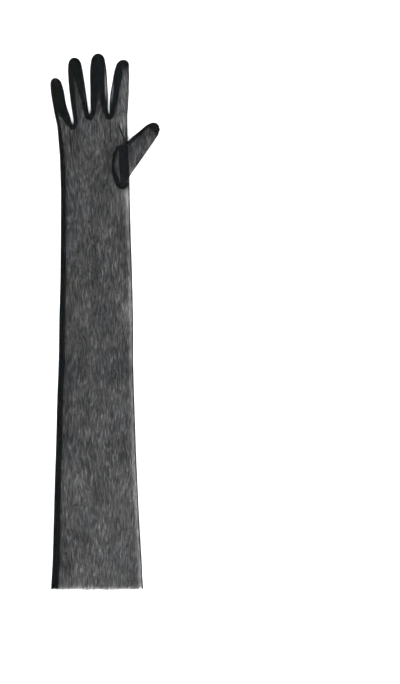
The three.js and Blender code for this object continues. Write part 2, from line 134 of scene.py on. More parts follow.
# Folded strips between fingers: how far they reach down at the crotch and, for each side, y, where the dark
# fold starts and where it ends, counted in from the finger's edge
STRIPS = {
    "fourchette_little_ring": {
        "between": ("little", "ring"),
        "crotch": 6.6,
        "left": [
            (557, 0, 5.4),
            (560, 0, 7.6),
            (564, 0, 8.6),
            (568, 0, 10.2),
            (572, 0, 11.5),
            (590, 0, 11.0),
            (604, 0, 8.0),
        ],
        "right": [
            (557, 0, 4.6),
            (571, 0, 5.6),
            (586, 0, 5.8),
            (593, 0, 7.2),
            (600, 0, 7.3),
            (607, 0, 6.6),
            (615, 0, 6.8),
            (627, 0, 9.0),
        ],
    },
    "fourchette_ring_middle": {
        "between": ("ring", "middle"),
        "crotch": 7.6,
        "left": [
            (569, 0, 5.8),
            (576, 0, 5.8),
            (582, 1.6, 6.7),
            (589, 2.8, 7.4),
            (597, 2.8, 9.3),
            (604, 2.0, 9.8),
            (612, 0, 9.6),
            (627, 0, 9.2),
        ],
        "right": [
            (569, 0, 5.6),
            (575, 0, 6.3),
            (582, 0, 7.5),
            (593, 0, 8.4),
            (600, 0, 9.6),
            (607, 0, 10.6),
            (632, 0, 9.0),
        ],
    },
    "fourchette_middle_index": {
        "between": ("middle", "index"),
        "crotch": 7.0,
        "left": [
            (569, 0, 5.6),
            (573, 0.6, 6.4),
            (578, 1.6, 7.6),
            (586, 2.4, 8.8),
            (593, 3.5, 9.0),
            (600, 4.2, 9.6),
            (607, 3.8, 10.6),
            (618, 3.0, 10.4),
            (628, 1.8, 9.4),
            (632, 0.8, 8.8),
        ],
        "right": [
            (569, 0, 5.4),
            (573, 0, 6.4),
            (579, 1.9, 8.6),
            (586, 2.6, 9.8),
            (593, 3.0, 10.6),
            (600, 2.8, 9.6),
            (607, 1.8, 9.4),
            (614, 0.6, 10.4),
            (622, 0, 9.8),
            (627, 0, 7.6),
        ],
    },
}

# Seam allowances gathered in the fingertips: y, how far in they start at the left and right edge, and the
# further plies that they count as
TIP_CAPS = {
    "little": [
        (570, 0.8, 0.8, -0.85),
        (577, 0.8, 0.8, -0.55),
        (590, 0.8, 0.8, -0.4),
        (600, 0.8, 0.8, 0.2),
        (612.2, 0.8, 0.8, 0.8),
    ],
    "ring": [(607, 0.8, 0.8, -0.9), (612, 0.8, 0.8, 0.1), (622, 0.8, 0.8, 0.6), (636.8, 0.8, 0.8, 0.8)],
    "middle": [
        (596, 0.8, 5.0, -0.9),
        (603, 0.8, 4.8, 0.1),
        (616, 0.8, 3.8, 0.6),
        (630, 0.8, 1.8, 0.6),
        (641.6, 0.8, 0.8, 0.8),
    ],
    "index": [(618, 0.8, 0.8, -0.97), (623, 0.8, 0.8, -0.7), (628, 0.8, 0.8, 0.3), (634.2, 0.8, 0.8, 0.8)],
}

# Soft patches where the net is drawn lighter or darker: x, y, reach across, reach along
# and the plies that they add
PATCHES = [
    (36.0, 598.0, 7.0, 32.0, -0.22),
    (34.5, 558.0, 8.0, 16.0, -0.26),
    (36.0, 470.0, 8.0, 20.0, -0.16),
    (5.0, 60.0, 70.0, 110.0, -0.09),
    (-36.0, 575.0, 8.0, 12.0, -0.12),
    (13.2, 604.0, 2.6, 26.0, -0.80),
    (21.4, 596.0, 2.2, 18.0, -0.62),
    (5.0, 592.0, 5.0, 14.0, 0.40),
]

# x, lower edge, upper edge, floor, crown
THUMB_ROWS = [
    (21.6, 495.5, 521.0, 8.5, 12.2),
    (25.4, 486.0, 528.2, 8.3, 14.7),
    (31.4, 480.4, 532.2, 7.9, 15.1),
    (37.0, 483.4, 534.2, 7.4, 14.7),
    (41.6, 493.9, 538.6, 6.9, 13.7),
    (45.6, 500.7, 543.0, 3.2, 11.0),
    (50.4, 507.5, 546.8, 0.0, 9.0),
    (55.6, 514.9, 551.2, 0.0, 8.2),
    (61.4, 523.2, 556.1, 0.0, 7.8),
    (67.4, 532.0, 559.2, 0.0, 7.6),
    (72.8, 539.8, 559.4, 0.0, 7.4),
    (76.2, 545.4, 556.8, 0.6, 6.4),
]
THUMB_ROOT = (20.2, 508, 9.9)
THUMB_TIP = (78.0, 551.2, 3.2)
THUMB_SIDE = 0.42  # the fold's share of the thumb's height
THUMB_SHOULDER = 0.72  # the share at which the fold meets the top
HOLE = {"x": 26.2, "y": 504.0, "width": 6.2, "length": 43.0, "lean": -0.05, "curve": 0.0065}

# The oval seam: x, y and the width of its turned edge
WELT = [
    (38.8, 535.6, 1.6),
    (34.2, 533.2, 2.2),
    (28.8, 530.6, 2.8),
    (23.9, 525.2, 3.0),
    (21.0, 516.4, 3.6),
    (20.2, 506.0, 3.8),
    (21.4, 494.4, 5.6),
    (24.8, 485.6, 6.0),
    (29.2, 480.4, 4.8),
    (33.8, 479.0, 3.2),
    (37.8, 481.4, 2.6),
    (40.6, 486.6, 1.6),
]

# Across that edge: share of its width, height over the palm's net and further plies
WELT_PROFILE = [(0, 0.7, 1.6), (0.3, 1.1, 1.6), (0.65, 1.15, 1.0), (1, 0.75, 0.4)]

# y, width of the turned side seam
SIDE_SEAM = [
    (0, 7.8),
    (40, 7.6),
    (120, 6.6),
    (250, 6.2),
    (400, 5.6),
    (520, 5.0),
    (548, 3.8),
    (564, 2.9),
    (575, 4.2),
    (600, 4.6),
]

SEAM_MIDDLE = 3.1  # height of the line in which the leaves of a turned seam meet

# Length along the thumb's upper edge, and the width of its turned seam
THUMB_SEAM = [(0, 4.6), (10, 4.4), (20, 3.7), (34, 2.9), (44, 3.0), (54, 4.6), (60, 3.0)]

# Where the gathered allowances in the thumb's tip begin, the way they lie and how far they fade
THUMB_CAP = {"x": 67.8, "y": 548.0, "way": (0.76, 0.65), "fade": 6.0}

CREASE_LIFT = 0.75  # how far the edges of a crease stand over the net

# Fine creases in the palm's net: from, to, width, further plies
CREASES = [
    ((-30.5, 551.0), (-27.3, 518.0), 1.5, 0.9),
    ((18.1, 561.5), (18.8, 536.0), 1.4, 0.8),
    ((27.2, 558.5), (37.0, 534.7), 1.7, 2.0),
]

# Places of the points across one finger, as shares of its width, and how many steps lie across a finger
# and across the hand
ACROSS = [0, 0.035, 0.09, 0.17, 0.27, 0.38, 0.5, 0.62, 0.73, 0.83, 0.91, 0.965, 1]
PER = len(ACROSS) - 1
WIDE = PER * 4

# The fold along an edge of the hand, from the top down: how far in each point lies, and its height
FOLD = [(0.3, 5.1), (0.0, 3.1), (0.4, 1.2)]
FOLD_UP = list(reversed(FOLD))

ROOT_LINE = ARM_ROWS[-1][0]  # where the rows end and the palm blends into the line of finger roots

# How far the tables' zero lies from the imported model's: the back's box ends at the little finger's left edge
# and at the middle finger's tip
back_low, back_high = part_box("back_side")
SHIFT = np.array(
    (
        back_low.x * 1000 - FINGERS["little"]["rows"][-1][2],
        back_high.y * 1000 - FINGERS["middle"]["tip"][1],
        0.0,
    )
)


def mix(a, b, t):
    return a + (b - a) * t


def smooth(t):
    t = min(max(t, 0.0), 1.0)
    return t * t * (3 - 2 * t)


def table(rows, at, column):
    """A column of a table at a value of its first column, on a smooth curve through its rows."""
    keys = [r[0] for r in rows]
    values = [r[column] for r in rows]
    if at <= keys[0]:
        return values[0]
    if at >= keys[-1]:
        return values[-1]
    i = next(k for k in range(len(keys) - 1) if keys[k + 1] >= at)

    def slope(k):
        lo, hi = max(k - 1, 0), min(k + 1, len(keys) - 1)
        return (values[hi] - values[lo]) / (keys[hi] - keys[lo])

    h = keys[i + 1] - keys[i]
    t = (at - keys[i]) / h
    a, b = values[i], values[i + 1]
    m, n = slope(i) * h, slope(i + 1) * h
    start = (2 * t**3 - 3 * t**2 + 1) * a + (t**3 - 2 * t**2 + t) * m
    return start + (-2 * t**3 + 3 * t**2) * b + (t**3 - t**2) * n


def steps(start, end, size):
    count = max(1, round(abs(end - start) / size))
    return [mix(start, end, i / count) for i in range(count + 1)]


def dome(across):
    """The arch of the net over a finger or the arm: 1 in the middle and 0 at both edges."""
    return 1 - abs(across) ** 2.4


def hole_middle(y):
    """x of the bent middle line of the oval thumb hole."""
    off = y - HOLE["y"]
    return HOLE["x"] + HOLE["lean"] * off + HOLE["curve"] * off**2


def in_hole(x, y):
    """Under 1 inside the oval thumb hole."""
    across = x - hole_middle(y)
    return math.hypot(across / (HOLE["width"] / 2), (y - HOLE["y"]) / (HOLE["length"] / 2))


class Sheet:
    """Points and faces of one ply, seen from outside, and how many more plies lie at each point."""

    def __init__(self):
        self.points, self.faces, self.plies = [], [], []

    def add(self, x, y, z, more=0.0):
        self.points.append((x, y, z))
        self.plies.append(more)
        return len(self.points) - 1

    def quad(self, a, b, c, d):
        self.faces.append((a, b, c, d))

    def band(self, lower, upper, skip=()):
        count = len(lower)
        for k in range(count):
            if k not in skip:
                n = (k + 1) % count
                self.quad(lower[k], lower[n], upper[n], upper[k])

    def cap(self, ring, apex):
        for k, a in enumerate(ring):
            self.faces.append((a, ring[(k + 1) % len(ring)], apex))

    def base(self, ring, apex):
        for k, a in enumerate(ring):
            self.faces.append((ring[(k + 1) % len(ring)], a, apex))

    def grid(self, rows):
        """Rows of points, each (x, y, z, more plies), joined into a sheet."""
        made = [[self.add(*p) for p in row] for row in rows]
        for lower, upper in zip(made, made[1:]):
            for k in range(len(lower) - 1):
                self.quad(lower[k], lower[k + 1], upper[k + 1], upper[k])

    def cut_hole(self, tops):
        """Cuts the thumb hole into the ply whose points are tops and draws its edge round to the oval."""
        inside = set()
        for i, f in enumerate(self.faces):
            if all(v in tops for v in f):
                x, y = np.mean([self.points[v][:2] for v in f], axis=0)
                if in_hole(x, y) < 1:
                    inside.add(i)
        gone = {v for i in inside for v in self.faces[i]}
        self.faces = [f for i, f in enumerate(self.faces) if i not in inside]
        kept = {v for f in self.faces for v in f}
        for v in gone & kept:
            x, y, z = self.points[v]
            r = in_hole(x, y)
            new_y = HOLE["y"] + (y - HOLE["y"]) / r
            self.points[v] = (hole_middle(new_y) + (x - hole_middle(y)) / r, new_y, z)
            self.plies[v] = 0.6

    def object(self, name):
        """The closed ply as an object in the model's own place."""
        points = np.array(self.points)
        normals = np.zeros_like(points)
        for f in self.faces:
            a, b, c = points[f[0]], points[f[1]], points[f[2]]
            normal = np.cross(b - a, c - a)
            if len(f) == 4:
                normal = np.cross(c - a, points[f[3]] - b)
            for v in f:
                normals[v] += normal
        length = np.linalg.norm(normals, axis=1)
        length[length == 0] = 1
        inner = points - normals / length[:, None] * PLY
        count = len(points)
        faces = [tuple(f) for f in self.faces] + [tuple(v + count for v in reversed(f)) for f in self.faces]
        edges = {(f[i], f[(i + 1) % len(f)]) for f in self.faces for i in range(len(f))}
        for a, b in sorted(edges):
            if (b, a) not in edges:
                faces.append((b, a, a + count, b + count))
        used = sorted({v for f in faces for v in f})
        number = {v: i for i, v in enumerate(used)}
        every = np.vstack([points, inner])[used]
        every = (every + SHIFT) / 1000
        mesh = bpy.data.meshes.new(name)
        mesh.from_pydata(every.tolist(), [], [tuple(number[v] for v in f) for f in faces])
        plies = mesh.attributes.new("more_plies", "FLOAT", "POINT")
        values = np.array(self.plies + self.plies, dtype=np.float32)[used]
        plies.data.foreach_set("value", values)
        mesh.shade_smooth()
        mesh.update()
        made = bpy.data.objects.new(name, mesh)
        bpy.context.scene.collection.objects.link(made)
        return made


def ripple(x, y, size, seed=0.0):
    """A soft unevenness of the net, of about the given size in plan and drawn out along the arm."""
    return noise.noise(Vector((x / size, y / size / 1.8, seed)))


def patch_at(x, y):
    """The plies that the soft patches add or take away at a place."""
    total = 0
    for px, py, rx, ry, plies in PATCHES:
        total += plies * math.exp(-(((x - px) / rx) ** 2) - ((y - py) / ry) ** 2)
    return total


def arm_top(crown, across):
    return mix(ARM["shoulder"], crown, dome(across))


def arm_top_at(x, y):
    """Height of the arm's and palm's upper net at a place."""
    left, right, crown = (table(ARM_ROWS, y, k) for k in (1, 2, 3))
    return arm_top(crown, (x - left) / (right - left) * 2 - 1)


def root_at(j):
    """Place on the line of roots of a column of the hand, with its share across its finger."""
    f = min(j // PER, 3)
    share = ACROSS[j - f * PER]
    (ax, ay), (bx, by) = ROOTS[f], ROOTS[f + 1]
    return mix(ax, bx, share), mix(ay, by, share), share


def hand_sheet():
    """The folded net of arm, palm, back and finger fronts and backs as one open sheet."""
    sheet = Sheet()
    tops = set()
    share = [(root_at(j)[0] - ROOTS[0][0]) / (ROOTS[4][0] - ROOTS[0][0]) for j in range(WIDE + 1)]

    def ring(places, heights, more):
        top, bottom = [], []
        right_edge = places[-1][0]
        for j, (x, y) in enumerate(places):
            pull = ARM["inset"] * (1 if j == 0 else -1 if j == WIDE else 0)
            # The arm's net is drawn a little lighter just inside the folded edge
            from_fold = right_edge - x
            lighter_inside_fold = -0.45 * math.exp(-(((from_fold - 2.8) / 2.6) ** 2)) if y < 480 else 0
            plies = more[j] + patch_at(x, y) + lighter_inside_fold
            z = heights[j] + 0.35 * ripple(x, y, 26) + 0.16 * ripple(x, y, 7, 4.0)
            top.append(sheet.add(x + pull * 0.7, y, z, plies))
            bottom.append(sheet.add(x + pull, y, LIFT, plies))
        tops.update(top)
        (lx, ly), (rx, ry) = places[0], places[-1]
        right = [sheet.add(rx - s, ry, z, 0.1) for s, z in FOLD]
        left = [sheet.add(lx + s, ly, z, 1.0) for s, z in FOLD_UP]
        return top, bottom, right, left, [*top, *right, *reversed(bottom), *left]

    # Further plies at the seam's edge and at the folded edge
    edge = [0.0] * (WIDE + 1)
    edge[0], edge[-1] = 0.8, 0.45
    rings = []
    # The arm, with closer rows at the cut edge of the cuff, which wavers and is frayed
    for y in [-1.0, 0.3, 1.6, 3.4, *steps(7, ROOT_LINE, 7)]:
        left, right, crown = (table(ARM_ROWS, y, k) for k in (1, 2, 3))
        frayed = math.exp(-(((y + 1) / 2.4) ** 2))
        places = []
        for j in range(WIDE + 1):
            x = mix(left, right, share[j])
            waver = 0.25 * math.sin(x * 0.21 + 0.6) + 0.25 * math.sin(x * 0.87) + 0.2 * math.sin(x * 2.3)
            sag = 0.5 * (1 - y / ROOT_LINE) * (1 - (share[j] * 2 - 1) ** 2)
            places.append((x, y + waver * max(0, 1 - y / 12) - sag))
        heights = [arm_top(crown, s * 2 - 1) for s in share]
        rings.append(ring(places, heights, [m - 0.5 * frayed for m in edge]))
    # The palm, from the arm's last row to the line of finger roots
    left, right, crown = (table(ARM_ROWS, ROOT_LINE, k) for k in (1, 2, 3))
    for t in steps(0, 1, 0.125)[1:]:
        places, heights, more = [], [], []
        for j in range(WIDE + 1):
            rx, ry, s = root_at(j)
            places.append((mix(mix(left, right, share[j]), rx, t), mix(ROOT_LINE, ry, t)))
            flat = arm_top(mix(crown, PALM_CROWN, t), share[j] * 2 - 1)
            edge_z = FINGER["shoulder"] if j in (0, WIDE) else FINGER["gap"]
            finger = mix(edge_z, FINGER["crown"], dome(s * 2 - 1))
            heights.append(mix(flat, finger, smooth(t)))
            crotch = 1.0 if t == 1 and s in (0, 1) and 0 < j < WIDE else 0
            more.append(edge[j] + crotch)
        rings.append(ring(places, heights, more))
    for lower, upper in zip(rings, rings[1:]):
        sheet.band(lower[4], upper[4])

    top, bottom, right, left, _ = rings[-1]
    for f, name in enumerate(NAMES):
        first, last = f * PER, (f + 1) * PER
        finger_on(sheet, name, f, top[first : last + 1], bottom[first : last + 1], right, left)
    sheet.cut_hole(tops)
    net = [sheet.points[v] for v in tops]
    for start, end, width, more in CREASES:
        add_crease(sheet, net, start, end, width, more)
    return sheet


def add_crease(sheet, net, start, end, width, more):
    """A narrow fold lying on the net from one place to another, thin at both ends."""
    rows = []
    for t in steps(0, 1, 0.08):
        x, y = mix(start[0], end[0], t), mix(start[1], end[1], t)
        near = sorted((math.dist((x, y), p[:2]), p[2]) for p in net)[:3]
        z = sum(h / (d + 0.1) for d, h in near) / sum(1 / (d + 0.1) for d, _ in near)
        reach = width / 2 * (0.5 + 0.5 * math.sin(math.pi * t))
        across = ((-1, CREASE_LIFT), (0, CREASE_LIFT + 0.2), (1, CREASE_LIFT))
        rows.append([(x + side * reach, y, z + lift, more) for side, lift in across])
    sheet.grid(rows)


def finger_on(sheet, name, f, top, bottom, right, left):
    """Adds a finger to the hand's sheet, open along the sides where the folded strips lie."""
    rows, tip = FINGERS[name]["rows"], FINGERS[name]["tip"]
    gap_left, gap_right = f > 0, f < 3
    sides = len(FOLD)
    # Faces of a ring that are left out along a gap, on the right and on the left
    skip = []
    if gap_right:
        skip += list(range(PER, PER + sides + 1))
    if gap_left:
        skip += list(range(2 * PER + 1 + sides, 2 * PER + 2 + 2 * sides))

    def ring(ly, ry, lx, rx, crown, shoulders, floor, side, scale, at_tip):
        tops, bottoms = [], []
        for s in ACROSS:
            edge = min(s, 1 - s)
            gap = (gap_left and s < 0.5) or (gap_right and s > 0.5)
            more = max(0.0, 1 - edge / 0.06) * (1.5 if gap or at_tip else 0.5)
            pull = 0 if gap and not at_tip else ARM["inset"] * scale
            y = mix(ly, ry, s)
            x = mix(lx + (pull if s < 0.5 else 0) * 0.7, rx - (pull if s > 0.5 else 0) * 0.7, s)
            shoulder = shoulders[0] if s < 0.5 else shoulders[1]
            z = mix(shoulder, crown, dome(s * 2 - 1)) + 0.25 * ripple(x, y, 9, 2.0) * scale
            tops.append(sheet.add(x, y, z, more + patch_at(x, y)))
            x = mix(lx + (pull if s < 0.5 else 0), rx - (pull if s > 0.5 else 0), s)
            bottoms.append(sheet.add(x, y, floor, more * 0.6 + patch_at(x, y)))
        outer = 0.4 if not at_tip else 1.2
        rights = [sheet.add(rx - i * scale, ry, mix(side, z, scale), outer) for i, z in FOLD]
        lefts = [sheet.add(lx + i * scale, ly, mix(side, z, scale), outer) for i, z in FOLD_UP]
        return [*tops, *rights, *reversed(bottoms), *lefts]

    shoulders = [FINGER["gap" if gap else "shoulder"] for gap in (gap_left, gap_right)]
    below = [*top, *right, *reversed(bottom), *left]
    start, end = rows[0][0], rows[-1][0]
    for ly in steps(start, end, 3.5):
        ry, lx, rx = (table(rows, ly, k) for k in (1, 2, 3))
        ring_now = ring(ly, ry, lx, rx, FINGER["crown"], shoulders, LIFT, FINGER["side"], 1, False)
        sheet.band(below, ring_now, skip)
        below = ring_now
    _, _, lx, rx = rows[-1]
    for t in (0.18, 0.36, 0.52, 0.67, 0.8, 0.9, 0.965):
        wide = math.sqrt(1 - t * t)
        centre = mix((lx + rx) / 2, tip[0], t)
        half = (rx - lx) / 2 * wide
        crown, *edges, floor = [mix(FINGER["side"], v, wide) for v in (FINGER["crown"], *shoulders, LIFT)]
        y = mix(end, tip[1], t)
        ring_now = ring(y, y, centre - half, centre + half, crown, edges, floor, FINGER["side"], wide, True)
        sheet.band(below, ring_now)
        below = ring_now
    sheet.cap(below, sheet.add(tip[0], tip[1], FINGER["side"], 1.5))


def finger_edges(name, y):
    """The left and right edge of a finger at a height."""
    rows, tip = FINGERS[name]["rows"], FINGERS[name]["tip"]
    if y <= rows[-1][0]:
        return table(rows, y, 2), table([(r[1], r[3]) for r in rows], y, 1)
    t = min((y - rows[-1][0]) / (tip[1] - rows[-1][0]), 1)
    _, _, lx, rx = rows[-1]
    centre, half = mix((lx + rx) / 2, tip[0], t), (rx - lx) / 2 * math.sqrt(1 - t * t)
    return centre - half, centre + half


def thumb_sheet():
    """The thumb's folded net, from its root over the palm to its tip, as one open sheet."""
    sheet = Sheet()
    floors = set()
    rings = []
    for x in steps(THUMB_ROWS[0][0], THUMB_ROWS[-1][0], 2.2):
        low, high, floor, crown = (table(THUMB_ROWS, x, k) for k in (1, 2, 3, 4))
        floor = max(floor, LIFT)
        shoulder = mix(floor, crown, THUMB_SHOULDER)
        inset = ARM["inset"]
        top, bottom = [], []
        for s in ACROSS:
            edge = min(s, 1 - s)
            more = max(0.0, 1 - edge / 0.06) * (1.0 if s < 0.5 else 0.7) + mix(0.30, -0.24, s)
            y = mix(high - inset * 0.7, low + inset * 0.7, s)
            z = mix(shoulder, crown, dome(s * 2 - 1)) + 0.3 * ripple(x, y, 11, 7.0)
            top.append(sheet.add(x, y, z, more))
            bottom.append(sheet.add(x, mix(high - inset, low + inset, s), floor, more * 0.6))
        floors.update(bottom)
        fold = [(i, mix(floor, shoulder, z / ARM["shoulder"])) for i, z in FOLD]
        lower = [sheet.add(x, low + i, z, 0.9) for i, z in fold]
        upper = [sheet.add(x, high - i, z, 1.2) for i, z in reversed(fold)]
        rings.append([*top, *lower, *reversed(bottom), *upper])
    for lower, upper in zip(rings, rings[1:]):
        sheet.band(lower, upper)
    sheet.base(rings[0], sheet.add(*THUMB_ROOT, 1.0))
    sheet.cap(rings[-1], sheet.add(*THUMB_TIP, 1.5))
    sheet.cut_hole(floors)
    return sheet


def along(points, size):
    """A smooth path through points in plan. Gives places about size apart, each with the way to its right and its
    length along the path."""
    lengths = [0.0]
    for a, b in zip(points, points[1:]):
        lengths.append(lengths[-1] + math.dist(a[:2], b[:2]))
    rows = [(s, *p) for s, p in zip(lengths, points)]
    made = []
    for s in steps(0, lengths[-1], size):
        here = [table(rows, s, k + 1) for k in range(len(points[0]))]
        before = [table(rows, max(s - 0.6, 0), k + 1) for k in range(2)]
        after = [table(rows, min(s + 0.6, lengths[-1]), k + 1) for k in range(2)]
        way = np.array(after) - np.array(before)
        way = way / max(np.linalg.norm(way), 1e-9)
        made.append((here, (way[1], -way[0]), s))
    return made


def fourchette_sheet(strip):
    """A strip folded in a V between two fingers: down one, round the crotch and up the other."""
    a, b = strip["between"]
    root = ROOTS[NAMES.index(b)]

    def side(name, y_column, x_column, key):
        rows = FINGERS[name]["rows"]
        edge = [(r[x_column], r[y_column] - (0.8 if r is rows[-1] else 0)) for r in rows]
        return [(x, y, table(strip[key], y, 1), table(strip[key], y, 2)) for x, y in edge]

    down = along([*reversed(side(a, 1, 3, "left")), (*root, 0.0, strip["left"][0][2])], 1.8)
    up = along([(*root, 0.0, strip["right"][0][2]), *side(b, 0, 2, "right")], 1.8)
    # A fan of rows round the crotch, turning below it
    first, last = (math.atan2(way[1], way[0]) for way in (down[-1][1], up[0][1]))
    if first > 0:
        first -= 2 * math.pi
    fan = []
    for t in steps(0, 1, 0.1)[1:-1]:
        angle = mix(first, last, t)
        way = (math.cos(angle), math.sin(angle))
        beside = mix(strip["left"][0][2], strip["right"][0][2], t)
        deep = math.hypot(beside * way[0], strip["crotch"] * way[1])
        fan.append(((*root, 0.0, deep), way, 0.0))

    sheet = Sheet()
    rows = []
    for (x, y, start, deep), (rx, ry), _ in [*down, *fan, *up]:
        deep = max(deep, start + 2.5)
        bare = -0.9 if start > 1.2 else 0.3
        begin = max(start, 1.5)
        # How far in each point of a leaf lies and the plies there, from the finger's edge to the fold
        upper = [
            (0.15, 0.9),
            (0.8, 0.9),
            (1.1, bare),
            (begin - 0.2, bare),
            (begin + 0.25, 0.4),
            (mix(begin, deep, 0.6), 0.3),
            (deep - 0.7, 0.3),
            (deep, -0.3),
        ]
        leaf = [(reach, mix(4.1, 3.4, reach / deep), more) for reach, more in upper]
        leaf += [(reach, mix(0.8, 2.9, reach / deep), more) for reach, more in reversed(upper)]
        rows.append([(x + rx * reach, y + ry * reach, z, more) for reach, z, more in leaf])
    sheet.grid(rows)
    return sheet


def leaves(path, size, width_at, low, high, more=0.3, gather=0.0):
    """A turned seam: two leaves that meet in the seam line and reach inwards, up to high and down to low.
    more is its further plies and gather the height of its small waves."""
    sheet = Sheet()
    rows = []
    for (x, y, *rest), (rx, ry), s in along(path, size):
        wide = width_at(x, y, s)
        lift = rest[0] if rest else 0.0
        wave = gather * math.sin(s * 2.4)
        leaf = [
            (wide, high),
            (wide * 0.5, mix(SEAM_MIDDLE, high, 0.7)),
            (0.45, SEAM_MIDDLE + 0.25),
            (0.2, SEAM_MIDDLE),
            (0.45, SEAM_MIDDLE - 0.25),
            (wide * 0.55, mix(SEAM_MIDDLE, low, 0.7)),
            (wide * 1.06, low),
        ]
        row = []
        for reach, z in leaf:
            plies = more + (0.9 if reach < 1 else 0)
            row.append((x + rx * reach, y + ry * reach, z + lift + wave * (reach / wide), plies))
        rows.append(row)
    sheet.grid(rows)
    return sheet


def side_seam_sheet():
    """The turned seam down the little-finger side, from the finger's tip seam to the cuff."""
    path = [(table(ARM_ROWS, y, 1) + 0.5, y) for y in steps(0.2, ROOT_LINE, 14)]
    path.append((ROOTS[0][0] + 0.5, ROOTS[0][1]))
    path += [(r[2] + 0.5, r[0]) for r in FINGERS["little"]["rows"]]

    def width_at(x, y, s):
        return table(SIDE_SEAM, y, 1) + 0.5 * ripple(x, y, 12, 3.0) + 0.25 * math.sin(s * 0.9)

    return leaves(path, 4, width_at, low=2.0, high=4.6)


def tip_seam_sheet(name):
    """The turned seam round a fingertip and the allowances gathered inside it."""
    rows, tip = FINGERS[name]["rows"], FINGERS[name]["tip"]
    y, _, lx, rx = rows[-1]
    middle, half = (lx + rx) / 2, (rx - lx) / 2 - 0.7
    path = []
    for k in range(-8, 9):
        angle = k / 8 * math.pi * 0.5
        rise = math.cos(angle)
        path.append((mix(middle, tip[0], rise) + half * math.sin(angle), y - 1 + (tip[1] - y + 0.3) * rise))

    def width_at(x, y, s):
        return 2.2 + 0.4 * math.sin(s * 2.1)

    sheet = leaves(path, 0.8, width_at, low=2.3, high=4.1, more=0.4, gather=0.3)
    caps = TIP_CAPS[name]
    cap_rows = []
    for y in steps(caps[0][0], caps[-1][0], 1.6):
        left, right = finger_edges(name, y)
        left += table(caps, y, 1)
        right -= table(caps, y, 2)
        more = table(caps, y, 3)
        row = []
        for share in steps(0, 1, 0.1):
            x = mix(left, right, share)
            row.append((x, y, 3.15 + 0.25 * ripple(x, y, 5, 9.0), more + 0.25 * ripple(x, y, 3, 6.0)))
        cap_rows.append(row)
    sheet.grid(cap_rows)
    return sheet


def thumb_edge_sheet():
    """The turned seam along the thumb's upper edge and the allowances gathered in its tip."""

    def fold_height(x):
        return mix(max(table(THUMB_ROWS, x, 3), LIFT), table(THUMB_ROWS, x, 4), THUMB_SIDE)

    def width_at(x, y, s):
        return table(THUMB_SEAM, s, 1) + 0.3 * math.sin(s * 1.7)

    path = []
    for x in steps(38.4, 76.2, 2.5):
        path.append((x, table(THUMB_ROWS, x, 2) - 0.6, fold_height(x) - SEAM_MIDDLE))
    path.append((THUMB_TIP[0] - 0.9, THUMB_TIP[1] + 1.6, 0.0))
    path.append((THUMB_TIP[0] - 1.2, THUMB_TIP[1] - 2.2, 0.0))
    sheet = leaves(path, 1.4, width_at, low=2.3, high=4.1, more=0.0, gather=0.15)
    rows = []
    for x in steps(62.5, 76.4, 1.4):
        low, high = table(THUMB_ROWS, x, 1) + 0.8, table(THUMB_ROWS, x, 2) - 0.8
        row = []
        for share in steps(0, 1, 0.1):
            y = mix(low, high, share)
            far = (x - THUMB_CAP["x"]) * THUMB_CAP["way"][0] + (y - THUMB_CAP["y"]) * THUMB_CAP["way"][1]
            more = mix(-0.97, 0.7, smooth(far / THUMB_CAP["fade"]))
            row.append((x, y, fold_height(x) + 0.2 * ripple(x, y, 5, 9.0), more))
        rows.append(list(reversed(row)))
    sheet.grid(rows)
    return sheet


def welt_sheet():
    """The turned edge of the oval seam, lying on the palm."""
    sheet = Sheet()
    rows = []
    for (x, y, width), (rx, ry), s in along(WELT, 1.2):
        row = []
        for share, lift, more in WELT_PROFILE:
            px, py = x - rx * width * share, y - ry * width * share
            row.append((px, py, arm_top_at(px, py) + lift + 0.08 * math.sin(s * 3), more))
        rows.append(row)
    sheet.grid([list(reversed(row)) for row in rows])
    return sheet


# Materials

# y in metres, in the model's frame, between which the cross hatching of the palm's net comes in
PALM_HATCH = (0.11, 0.18)


def nodes_of(name):
    """A new material with its nodes, links and shader."""
    material = bpy.data.materials.new(name)
    material.use_nodes = True
    tree = material.node_tree
    return material, tree.nodes, tree.links, tree.nodes["Principled BSDF"]


def math_node(nodes, links, kind, a, b=None):
    """The result of a calculation on one or two values, each a number or a socket."""
    node = nodes.new("ShaderNodeMath")
    node.operation = kind
    for socket, value in zip(node.inputs, (a, b)):
        if value is None:
            continue
        if isinstance(value, (int, float)):
            socket.default_value = value
        else:
            links.new(value, socket)
    return node.outputs[0]


